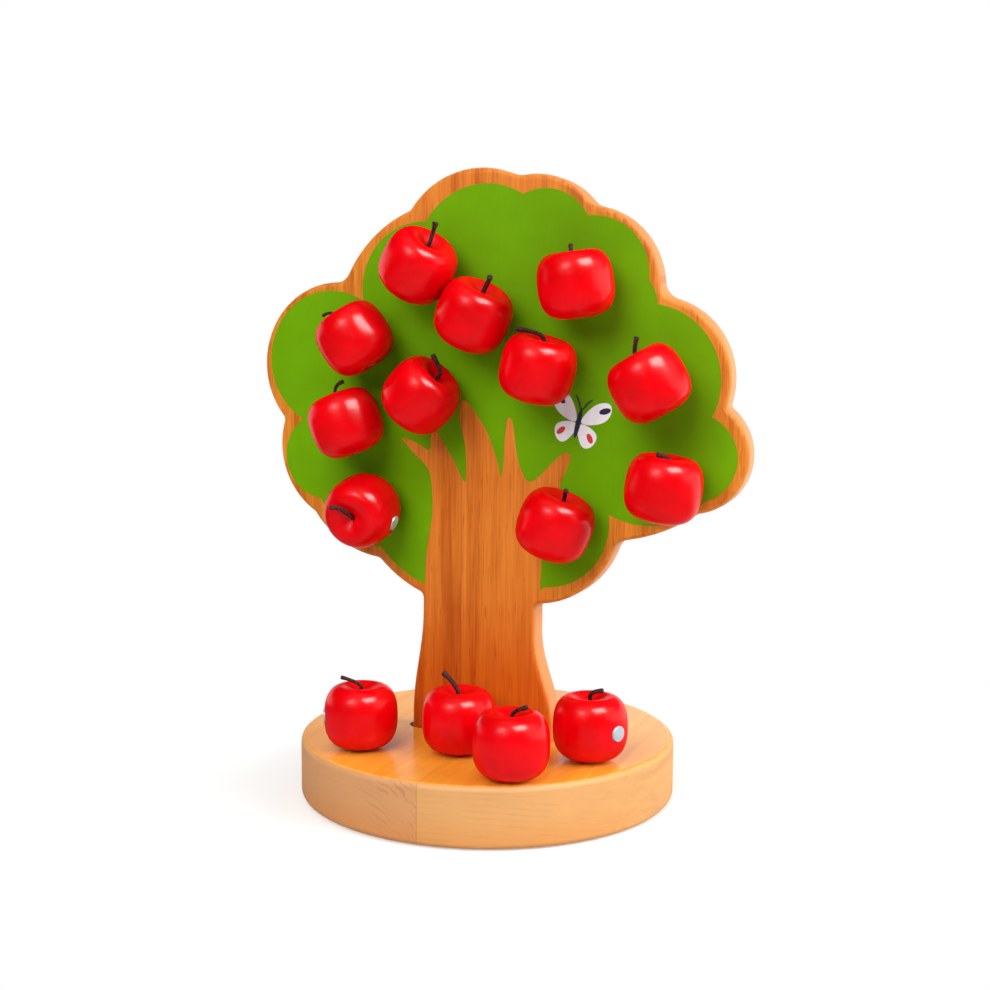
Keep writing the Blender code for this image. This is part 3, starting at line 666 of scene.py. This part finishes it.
def lathe(name, profile, sides):
    """A turned mesh about Z from (radius, height) pairs; zero radii become poles."""
    shape = bmesh.new()
    rings = []
    for radius, height in profile:
        if radius < 1e-7:
            rings.append([shape.verts.new((0.0, 0.0, height))])
            continue
        rings.append([shape.verts.new((radius * math.cos(a), radius * math.sin(a), height))
                      for a in all_round(sides)])
    for upper, lower in zip(rings, rings[1:]):
        for i in range(sides):
            j = (i + 1) % sides
            if len(upper) == 1:
                shape.faces.new((upper[0], lower[i], lower[j]))
            elif len(lower) == 1:
                shape.faces.new((upper[i], lower[0], upper[j]))
            else:
                shape.faces.new((upper[i], lower[i], lower[j], upper[j]))
    return mesh_from(shape, name)


def mesh_from(shape, name):
    """A mesh with outward normals from a bmesh, which goes."""
    bmesh.ops.recalc_face_normals(shape, faces=shape.faces)
    mesh = bpy.data.meshes.new(name)
    shape.to_mesh(mesh)
    shape.free()
    return mesh


def arc(centre, radius, start, end, step=ARC_STEP):
    """Points along an arc from one angle to another, both ends included."""
    count = max(3, math.ceil(abs(end - start) / step))
    return [Vector((centre.x + radius * math.cos(start + (end - start) * i / count),
                    centre.y + radius * math.sin(start + (end - start) * i / count)))
            for i in range(count + 1)]


def angle_to(origin, point):
    return math.atan2(point.y - origin.y, point.x - origin.x)


def circles_meet(centre_a, radius_a, centre_b, radius_b):
    """The crossing of two circles that lies left of the way from the first to the second."""
    along = centre_b - centre_a
    distance = along.length
    reach = (distance ** 2 + radius_a ** 2 - radius_b ** 2) / (2 * distance)
    height = math.sqrt(radius_a ** 2 - reach ** 2)
    forward = along / distance
    return centre_a + forward * reach + Vector((-forward.y, forward.x)) * height


def crown_point(across, down):
    """A point of the board from shares of the crown's width, down from its top."""
    return Vector((across * CROWN_WIDTH, CROWN_TOP - down * CROWN_WIDTH))


def lobes_from(shares):
    """Centre, radius and notch rounding of each lobe."""
    return [(crown_point(across, down), radius * CROWN_WIDTH, rounding * CROWN_WIDTH)
            for across, down, radius, rounding in shares]


def lobed_edge(lobes, start_point=None, end_point=None):
    """Clockwise points along a chain of lobes, with rounded notches between them."""
    pairs = list(zip(lobes, lobes[1:]))
    if start_point is None:
        pairs.append((lobes[-1], lobes[0]))
    notches = [circles_meet(a, ra + rounding, b, rb + rounding)
               for (a, ra, rounding), (b, rb, _) in pairs]
    points = []
    for i, (centre, radius, rounding) in enumerate(lobes):
        before = start_point if (i == 0 and start_point is not None) else notches[i - 1]
        last_open = i == len(lobes) - 1 and end_point is not None
        after = end_point if last_open else notches[i]
        start, end = angle_to(centre, before), angle_to(centre, after)
        while end > start:
            end -= 2 * math.pi
        points += arc(centre, radius, start, end)
        if rounding and not last_open:
            start = angle_to(after, centre)
            end = angle_to(after, lobes[(i + 1) % len(lobes)][0])
            while end < start:
                end += 2 * math.pi
            points += arc(after, rounding, start, end, FILLET_STEP)[1:-1]
        elif not last_open:
            points.pop()
    return points


def side_notch(lobe, side_x, outward):
    """Centre of the rounding between a lobe and the trunk's side."""
    centre, radius, _ = lobe
    across = side_x + outward * NOTCH_ROUNDING
    drop = math.sqrt((radius + NOTCH_ROUNDING) ** 2 - (across - centre.x) ** 2)
    return Vector((across, centre.y - drop))


def trunk_side(waist_x, waist_height, foot_x):
    """One side of the trunk from its waist down, flaring to the foot in the slot."""
    points = []
    for i in range(FLARE_STEPS + 1):
        share = i / FLARE_STEPS
        flare = (1 - math.cos(math.pi * share)) / 2
        height = waist_height + (BASE_THICKNESS + FLARE_RISE - waist_height) * share
        points.append(Vector((waist_x + (foot_x - waist_x) * flare, height)))
    points.append(Vector((foot_x, FOOT_BOTTOM)))
    return points


def board_outline():
    """The whole board, clockwise from the left notch over the crown to the foot."""
    lobes = lobes_from(BOARD_LOBES)
    left = side_notch(lobes[0], -WAIST_LEFT, -1)
    right = side_notch(lobes[-1], WAIST_RIGHT, 1)
    left_end, right_end = angle_to(left, lobes[0][0]), angle_to(right, lobes[-1][0])
    left_fillet = arc(left, NOTCH_ROUNDING, 0.0, left_end, FILLET_STEP)
    right_fillet = arc(right, NOTCH_ROUNDING, right_end, math.pi, FILLET_STEP)
    crown = lobed_edge(lobes, left, right)
    right_side = trunk_side(WAIST_RIGHT, right.y - WAIST_RIGHT_DROP, FOOT_HALF)
    left_side = trunk_side(-WAIST_LEFT, left.y - WAIST_LEFT_DROP, -FOOT_HALF)
    return left_fillet[:-1] + crown + right_fillet[1:] + right_side + left_side[::-1]


def pocket_outline(play):
    """The crown's outline drawn in by the pocket's wall and the play of what lies in it."""
    points = lobed_edge(lobes_from(BOARD_LOBES))
    moved = []
    for i, point in enumerate(points):
        tangent = points[(i + 1) % len(points)] - points[i - 1]
        inward = Vector((tangent.y, -tangent.x)).normalized()
        moved.append(point + inward * (POCKET_WALL + play))
    return moved


def smooth_corners(points):
    """An open line of corners, cut rounder twice by Chaikin's rule, ends kept."""
    for _ in range(2):
        rounder = [points[0]]
        for a, b in zip(points, points[1:]):
            rounder += [a.lerp(b, 0.2), a.lerp(b, 0.8)]
        points = rounder + [points[-1]]
    return points


def print_outline():
    """The green crown less the trunk and branches."""
    trunk = [crown_point(across, down) for across, down in TRUNK]
    crown = lobed_edge(lobes_from([(*lobe, 0.0) for lobe in PRINT_LOBES]), trunk[0], trunk[-1])
    return crown[1:-1] + smooth_corners(trunk)[::-1]


def make_board(made):
    """The tree board with its pocket, the panel that closes it, and the print in front."""
    mesh = plate("board", board_outline(), BOARD_FRONT, BOARD_BACK, BOARD_ROUNDING)
    pocket = plate("pocket", pocket_outline(0.0), BOARD_FRONT + FRONT_SKIN,
                   BOARD_BACK + CUT_OVERRUN)
    board = new_object("board", cut(mesh, pocket), made["board"])
    shade(board)
    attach(board, "tree")
    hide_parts("tree_board")

    front = BOARD_FRONT + FRONT_SKIN + 2 * FIT_GAP + STEEL_THICKNESS
    mesh = plate("panel", pocket_outline(PANEL_PLAY), front, BOARD_BACK, PANEL_ROUNDING, 1)
    panel = new_object("panel", mesh, made["panel"])
    shade(panel)
    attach(panel, "tree")
    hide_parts("back_panel")

    mesh = plate("print", print_outline(), INK_FRONT, INK_BACK)
    layer = new_object("print", mesh, made["green"])
    shade(layer)
    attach(layer, "tree")
    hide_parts("crown_print")


def rounded(corners, passes=3):
    """A closed outline of corners in millimetres, cut round."""
    points = [Vector((x * MM, y * MM)) for x, y in corners]
    for _ in range(passes):
        points = [p for a, b in zip(points, points[1:] + points[:1])
                  for p in (a.lerp(b, 0.25), a.lerp(b, 0.75))]
    return points


def rotated(points, turn):
    return [Vector((p.x * math.cos(turn) - p.y * math.sin(turn),
                    p.x * math.sin(turn) + p.y * math.cos(turn))) for p in points]


def wings(reach, rise, drop):
    """One side of a generic four-winged butterfly, as two rounded outlines."""
    upper = ((0.0, 0.0), (0.35 * reach, 0.75 * rise), (0.80 * reach, rise),
             (reach, 0.72 * rise), (0.86 * reach, 0.22 * rise), (0.30 * reach, -0.05 * rise))
    lower = ((0.0, -0.02 * rise), (0.45 * reach, -0.08 * drop), (0.74 * reach, -0.35 * drop),
             (0.62 * reach, -0.86 * drop), (0.32 * reach, -drop), (0.06 * reach, -0.5 * drop))
    return rounded(upper), rounded(lower)


def oval(place, halves, turn=0.0):
    """An ellipse's outline, from its place and half sizes in millimetres."""
    points = [Vector((halves[0] * MM * math.cos(a), halves[1] * MM * math.sin(a)))
              for a in all_round(OVAL_POINTS)]
    return [Vector(place) * MM + p for p in rotated(points, turn)]


def both_sides(half):
    """The outlines of the right half, then the same mirrored for the left."""
    return [([Vector((side * p.x, p.y)) for p in outline], colour, lift)
            for side in (1, -1) for outline, colour, lift in half]


def make_motif(made):
    """A plain butterfly in white, navy and red, printed where the crown has room."""
    half = [(outline, "white", WING_LIFT) for outline in wings(*WING_SIZES)]
    half += [(oval(place, halves, math.radians(turn)), colour, SPOT_LIFT)
             for place, halves, turn, colour in SPOTS]
    body = (oval(BODY_PLACE, BODY_HALVES), "navy", BODY_LIFT)
    feeler = (rounded(FEELER, 2), "navy", BODY_LIFT)
    drawn = both_sides(half) + [body] + both_sides([feeler])
    centre = Vector(BUTTERFLY_PLACE) * MM
    for number, (outline, colour, lift) in enumerate(drawn, 1):
        placed = [centre + p for p in rotated(outline, BUTTERFLY_TURN)]
        name = f"motif_{number:02d}"
        mesh = plate(name, placed, BOARD_FRONT - lift * MM, MOTIF_BACK)
        obj = new_object(name, mesh, made[colour])
        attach(obj, "tree")


def make_base(made):
    """The turned base with rounded rims and its routed slot."""
    corner = BASE_RADIUS - BASE_ROUNDING
    quarter = [math.pi / 2 * i / RIM_STEPS for i in range(RIM_STEPS + 1)]
    rim = [(corner + BASE_ROUNDING * math.sin(a),
            BASE_THICKNESS - BASE_ROUNDING * (1 - math.cos(a))) for a in quarter]
    profile = [(0.0, BASE_THICKNESS), (corner / 2, BASE_THICKNESS)] + rim
    profile += [(x, BASE_THICKNESS - z) for x, z in reversed(rim)]
    profile += [(corner / 2, 0.0), (0.0, 0.0)]
    mesh = lathe("base", profile, BASE_SIDES)
    radius = BOARD_THICKNESS / 2 + FIT_GAP
    reach = FOOT_HALF + SLOT_END_PLAY - radius
    outline = arc(Vector((reach, 0.0)), radius, -math.pi / 2, math.pi / 2, SLOT_STEP)
    outline += arc(Vector((-reach, 0.0)), radius, math.pi / 2, 3 * math.pi / 2, SLOT_STEP)
    slot = plate("slot", outline, 0.0, SLOT_DEPTH + CUT_OVERRUN)
    slot.transform(UP_TO_BACK)
    low = min(v.co.z for v in slot.vertices)
    slot.transform(Matrix.Translation((0.0, BOARD_SETBACK, BASE_THICKNESS - SLOT_DEPTH - low)))
    base = new_object("base_wood", cut(mesh, slot), made["base"])
    shade(base)
    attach(base, "base")
    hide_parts("base_disc")


def barrel_point(angle):
    """A point of the rounded-square barrel, before its dimple and its flat bottom."""
    height = BARREL_ABOVE if angle > 0 else BARREL_BELOW
    rise = abs(math.sin(angle)) ** (2 / BARREL_SQUARENESS)
    across = APPLE_RADIUS * math.cos(angle) ** (2 / BARREL_SQUARENESS)
    return across * (1 - BARREL_TAPER_SHARE * rise ** 2), math.copysign(height * rise, angle)


def apple_profile():
    """Half section of an apple: stem hole, dimple, barrel, bottom magnet's recess."""
    def dip(radius):
        return DIMPLE_DEPTH * math.exp(-(radius / DIMPLE_RADIUS) ** 2)
    profile = [(radius * MM, DIMPLE_BOTTOM - depth * MM) for radius, depth in STEM_HOLE]
    for i in range(DIMPLE_STEPS):
        radius = DIMPLE_START + DIMPLE_STEP * i
        profile.append((radius, BARREL_ABOVE - dip(radius)))
    for i in range(TOP_ARC_STEPS):
        across, up = barrel_point(TOP_ARC_REACH * (1 - i / TOP_ARC_STEPS))
        if across > TOP_ARC_START:
            profile.append((across, up - dip(across)))
    for i in range(BOTTOM_ARC_STEPS + 1):
        profile.append(barrel_point(-BOTTOM_ARC_REACH * i / BOTTOM_ARC_STEPS))
    return profile + [(radius * MM, -BARREL_BELOW + up * MM) for radius, up in BOTTOM_RECESS]


def disc(name, front, back, bevel):
    """A magnet with its front face up and a small bevel round it."""
    profile = [(0.0, front), (MAGNET_RADIUS - bevel, front),
               (MAGNET_RADIUS - 0.3 * bevel, front - 0.3 * bevel),
               (MAGNET_RADIUS, front - bevel), (MAGNET_RADIUS, back), (0.0, back)]
    return lathe(name, profile, DISC_SIDES)


def apple_blank():
    """An apple's mesh with a round recess in its side for the second magnet."""
    body = lathe("apple", apple_profile(), APPLE_SIDES)
    recess = lathe("recess", [(radius * MM, out * MM) for radius, out in SIDE_RECESS], DISC_SIDES)
    recess.transform(Matrix.Translation((0.0, APPLE_RADIUS, 0.0)) @ UP_TO_BACK)
    return cut(body, recess)


def tube(name, route, radii):
    """A closed tube along a route."""
    shape = bmesh.new()
    tangents = [(route[min(i + 1, len(route) - 1)] - route[max(i - 1, 0)]).normalized()
                for i in range(len(route))]
    side = tangents[0].orthogonal().normalized()
    rings = []
    for place, tangent, radius in zip(route, tangents, radii):
        side = (side - tangent * side.dot(tangent)).normalized()
        other = tangent.cross(side)
        rings.append([shape.verts.new(place + (side * math.cos(a) + other * math.sin(a)) * radius)
                      for a in all_round(STEM_SIDES)])
    for lower, upper in zip(rings, rings[1:]):
        for i in range(STEM_SIDES):
            j = (i + 1) % STEM_SIDES
            shape.faces.new((lower[i], lower[j], upper[j], upper[i]))
    shape.faces.new(rings[0][::-1])
    shape.faces.new(rings[-1])
    return mesh_from(shape, name)


def stem_mesh(name, bend_shares, tip_shares, number):
    """A short cord: a little uneven, thicker at its cut tip."""
    start = Vector((0.0, 0.0, DIMPLE_BOTTOM))
    seat = start - Vector((0.0, 0.0, CORD_SEAT))
    rise = start + Vector((0.0, 0.0, STEM_RISE))
    bend = start + Vector(bend_shares) * STEM_LENGTH
    tip = start + Vector(tip_shares) * STEM_LENGTH
    route = [seat] + interpolate_bezier(start, rise, bend, tip, STEM_POINTS)
    thick, knob = STEMS.get(number, USUAL_STEM)
    shift = Vector((number * STEM_NOISE_SHIFT, 0.0, 0.0))
    radii = []
    for i, place in enumerate(route):
        swelling = max(0.0, i / (len(route) - 1) - KNOB_START) / (1 - KNOB_START)
        uneven = STEM_UNEVENNESS * noise.noise(place * STEM_NOISE + shift)
        radii.append(STEM_RADIUS * (thick + uneven + knob * swelling))
    direction = (route[-1] - route[-2]).normalized()
    for step, narrow in TIP_ROUNDING:
        route.append(tip + direction * step * MM)
        radii.append(STEM_RADIUS * (thick + knob) * narrow)
    return tube(name, route, radii)


class Orchard:
    """Makes the apples one after another, with their magnets and stems."""

    def __init__(self, made):
        self.made = made
        self.blank = apple_blank()
        self.count = 0

    def piece(self, name, mesh, at, material, body):
        """Places a mesh with its apple and dresses it."""
        mesh.transform(at)
        obj = new_object(name, mesh, self.made[material])
        shade(obj, 50.0)
        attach(obj, body)
        return obj

    def add(self, place, rotation, bend, tip):
        """The next apple: fruit, side magnet, bottom magnet and stem."""
        self.count += 1
        name = f"apple_{self.count:02d}"
        at = Matrix.Translation(place) @ rotation.to_4x4()
        body = self.piece(name + "_fruit", self.blank.copy(), at, "red", name)
        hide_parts(name + "_body")
        side = disc("side", *SIDE_DISC)
        side.transform(UP_TO_BACK)
        magnet = self.piece(name + "_side_disc", side, at, "nickel", name)
        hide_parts(name + "_magnet")
        under = disc("under", *BOTTOM_DISC)
        under.transform(Matrix.Rotation(math.pi, 4, "X"))
        self.piece(name + "_bottom_disc", under, at, "nickel", name)
        cord = stem_mesh(name, bend, tip, self.count)
        stem = self.piece(name + "_cord", cord, at, "cord", name)
        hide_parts(name + "_stem")


def reach_back(rotation):
    """How far a turned apple's body or side magnet reaches behind its centre."""
    rims = [Vector((0.0, side * x, z)) for x, z in apple_profile() for side in (1, -1)]
    face = APPLE_RADIUS + MAGNET_STAND
    rims += [Vector((0.0, face, up)) for up in (-MAGNET_RADIUS, MAGNET_RADIUS)]
    return max((rotation @ rim).y for rim in rims)


def crown_place(across, up, turned):
    """Where an apple's centre hangs when it is turned like this and touches the print."""
    touch = PRINT_FRONT - FIT_GAP
    return Vector((across * APPLE_DIAMETER, touch - reach_back(turned),
                   CROWN_MIDDLE + up * APPLE_DIAMETER))


def make_apples(made):
    orchard = Orchard(made)
    for place, tilt, nod, bend, tip in CROWN_APPLES:
        nodding = Matrix.Rotation(math.radians(nod), 3, "X")
        rotation = Matrix.Rotation(math.radians(tilt), 3, "Y") @ nodding
        orchard.add(crown_place(*place, nodding), rotation, bend, tip)
    place, droop, roll, bend, tip = END_ON
    drooping = Matrix.Rotation(math.pi / 2 + math.radians(droop), 3, "X")
    rolled = Matrix.Rotation(math.radians(roll), 3, "Z")
    back = rolled.inverted()
    orchard.add(crown_place(*place, drooping), drooping @ rolled, back @ Vector(bend),
                back @ Vector(tip))
    height = BASE_THICKNESS + FIT_GAP + BARREL_BELOW
    for (across, deep), spin, bend, tip in STANDING_APPLES:
        rotation = Matrix.Rotation(math.radians(spin), 3, "Z")
        back = rotation.inverted()
        place = Vector((across * BASE_RADIUS, deep * BASE_RADIUS, height))
        orchard.add(place, rotation, back @ Vector(bend), back @ Vector(tip))


# Studio

class Studio(Nodes):
    """The world's or the floor's nodes, with other light for camera, mirror and other rays."""

    def __init__(self, owner):
        super().__init__(owner)
        self.tree.nodes.clear()
        path = self.add("ShaderNodeLightPath")
        self.camera = path.outputs["Is Camera Ray"]
        self.mirror = self.math("MAXIMUM", path.outputs["Is Glossy Ray"],
                                path.outputs["Is Transmission Ray"])

    def place(self, output):
        """The three parts of a texture coordinate, and the coordinate itself."""
        whole = self.add("ShaderNodeTexCoord").outputs[output]
        return self.add("ShaderNodeSeparateXYZ", {"Vector": whole}).outputs, whole

    def glow(self, kind, level, tint=WHITE):
        """A background or an emission of a level."""
        return self.add(kind, {"Color": tint, "Strength": level}).outputs[0]

    def diffuse(self, grey):
        return self.add("ShaderNodeBsdfDiffuse", {"Color": (grey, grey, grey, 1.0)}).outputs[0]

    def mix(self, share, first, second):
        return self.add("ShaderNodeMixShader", {0: share, 1: first, 2: second}).outputs[0]

    def finish(self, kind, surface):
        self.add(kind, {0: surface})


def make_world():
    """A low white back wall, and a dim room that gives a little light. The camera sees white."""
    world = bpy.data.worlds.new("studio")
    bpy.context.scene.world = world
    studio = Studio(world)
    (x, y, z), _ = studio.place("Generated")
    # The wall fills the far side up to a low edge, and is dimmer on the left but at its end.
    wall = studio.times(studio.between(y, -0.45, 0.30), studio.between(z, 0.18, 0.38, 1.0, 0.0))
    sides = studio.math("MAXIMUM", studio.between(x, -0.50, -0.20, 0.45, 1.0),
                        studio.between(x, -0.80, -0.55, 1.0, 0.45))
    wall = studio.times(wall, sides)
    kind = "ShaderNodeBackground"
    mirrored = studio.mix(wall, studio.glow(kind, ROOM_LEVEL), studio.glow(kind, WALL_LEVEL))
    room = studio.mix(studio.mirror, studio.glow(kind, WORLD_LEVEL, ROOM_TINT), mirrored)
    studio.finish("ShaderNodeOutputWorld", studio.mix(studio.camera, room, studio.glow(kind, 1.0)))


def make_floor():
    """A pale table that keeps the object's shadow and is plain white further off."""
    mesh = bpy.data.meshes.new("floor")
    corners = [(-1, -1), (1, -1), (1, 1), (-1, 1)]
    mesh.from_pydata([(x * FLOOR_HALF, y * FLOOR_HALF, 0) for x, y in corners], [], [(0, 1, 2, 3)])
    material = bpy.data.materials.new("floor")
    floor = new_object("floor", mesh, material)
    floor.location.z = -FLOOR_DROP
    studio = Studio(material)
    (_, y, _), whole = studio.place("Object")
    away = studio.add("ShaderNodeVectorMath", {0: whole}, operation="LENGTH").outputs["Value"]
    kind = "ShaderNodeEmission"
    # To the camera: white paper with shadows near the base, plain white from there on
    near = studio.between(away, 0.07, 0.13, 0.40, 1.0)
    seen = studio.mix(near, studio.diffuse(1.0), studio.glow(kind, 1.0))
    # In reflections: the table, then the dim room, and the foot of the back wall
    mirrored = studio.mix(studio.between(away, 0.12, 0.32), studio.glow(kind, TABLE_LEVEL),
                          studio.glow(kind, ROOM_LEVEL))
    mirrored = studio.mix(studio.between(y, 0.02, 0.30), mirrored, studio.glow(kind, WALL_LEVEL))
    lit = studio.mix(studio.mirror, studio.diffuse(FLOOR_GREY), mirrored)
    studio.finish("ShaderNodeOutputMaterial", studio.mix(studio.camera, lit, seen))


def make_lamps():
    """Softboxes round the object, some for light alone and some for highlights alone."""
    for azimuth, elevation, away, wide, high, power, mirrored in LAMPS:
        a, e = math.radians(azimuth), math.radians(elevation)
        direction = Vector((math.sin(a) * math.cos(e), -math.cos(a) * math.cos(e), math.sin(e)))
        lamp = bpy.data.lights.new("softbox", "AREA")
        lamp.shape = "RECTANGLE"
        lamp.size, lamp.size_y = wide, high
        lamp.energy = power
        lamp.color = LAMP_TINT
        obj = in_scene("softbox", lamp)
        obj.location = Vector(LAMP_TARGET) + direction * away
        obj.rotation_euler = direction.to_track_quat("Z", "Y").to_euler()
        obj.visible_glossy = mirrored
        obj.visible_diffuse = not mirrored


place_camera()
made = make_materials()
make_base(made)
make_board(made)
make_motif(made)
make_apples(made)
for steel_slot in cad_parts["steel_sheet"].material_slots:
    steel_slot.material = made["steel"]
bpy.context.scene.view_settings.view_transform = "Standard"
make_world()
make_floor()
make_lamps()
